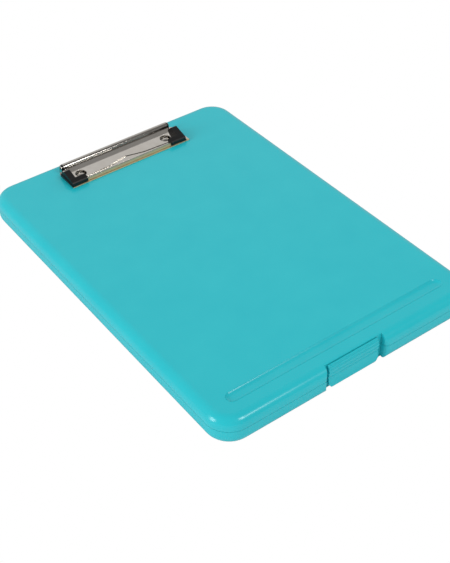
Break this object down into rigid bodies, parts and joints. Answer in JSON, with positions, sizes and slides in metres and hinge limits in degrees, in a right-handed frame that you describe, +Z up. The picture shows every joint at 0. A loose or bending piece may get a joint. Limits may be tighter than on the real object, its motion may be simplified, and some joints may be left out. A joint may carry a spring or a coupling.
{
  "type": "storage clipboard",
  "caption": "Shallow hinged case whose lid is a writing board with a pencil groove, a sprung paper clip at one end and a latch tab at the other.",
  "frame": {"origin": "centre of the closed case's plan, on the underside that it lies on", "axes": "+Z up out of the writing surface, +Y towards the clip and the lid's hinge, -Y towards the latch, +X to the right when the clip is at the top"},
  "size_m": [0.241, 0.345, 0.0338],
  "materials": {
    "case_plastic": "satin moulded polypropylene, turquoise",
    "clip_metal": "nickel-plated pressed steel, satin",
    "pin_steel": "bright drawn wire",
    "bush_plastic": "matt black",
    "cap_rubber": "matt black moulded rubber"
  },
  "bodies": {
    "tray": {"base_tray": "case_plastic", "hinge_pin_left": "pin_steel", "hinge_pin_right": "pin_steel", "latch_pin": "pin_steel"},
    "lid": {"lid": "case_plastic", "clip_base": "clip_metal", "clip_rod": "pin_steel", "clip_spring_left": "pin_steel", "clip_spring_right": "pin_steel", "rivet_left": "clip_metal", "rivet_right": "clip_metal", "rivet_washer_left": "pin_steel", "rivet_washer_right": "pin_steel"},
    "latch": {"latch": "case_plastic"},
    "jaw": {"clip_jaw": "clip_metal", "rod_bush_left": "bush_plastic", "rod_bush_right": "bush_plastic", "corner_cap_left": "cap_rubber", "corner_cap_right": "cap_rubber"}
  },
  "joints": [
    {"name": "lid_hinge", "type": "hinge", "parent": "tray", "child": "lid", "pos_m": [0, 0.172, 0.0147], "axis": [-1, 0, 0], "range_deg": [0, 165]},
    {"name": "latch_hinge", "type": "hinge", "parent": "tray", "child": "latch", "pos_m": [0, -0.1658, 0.00335], "axis": [1, 0, 0], "range_deg": [0, 78]},
    {"name": "jaw_hinge", "type": "hinge", "parent": "lid", "child": "jaw", "pos_m": [0, 0.154, 0.03025], "axis": [-1, 0, 0], "range_deg": [0, 70], "stiffness_Nm_per_rad": 0.1, "springref_deg": -57.3}
  ]
}
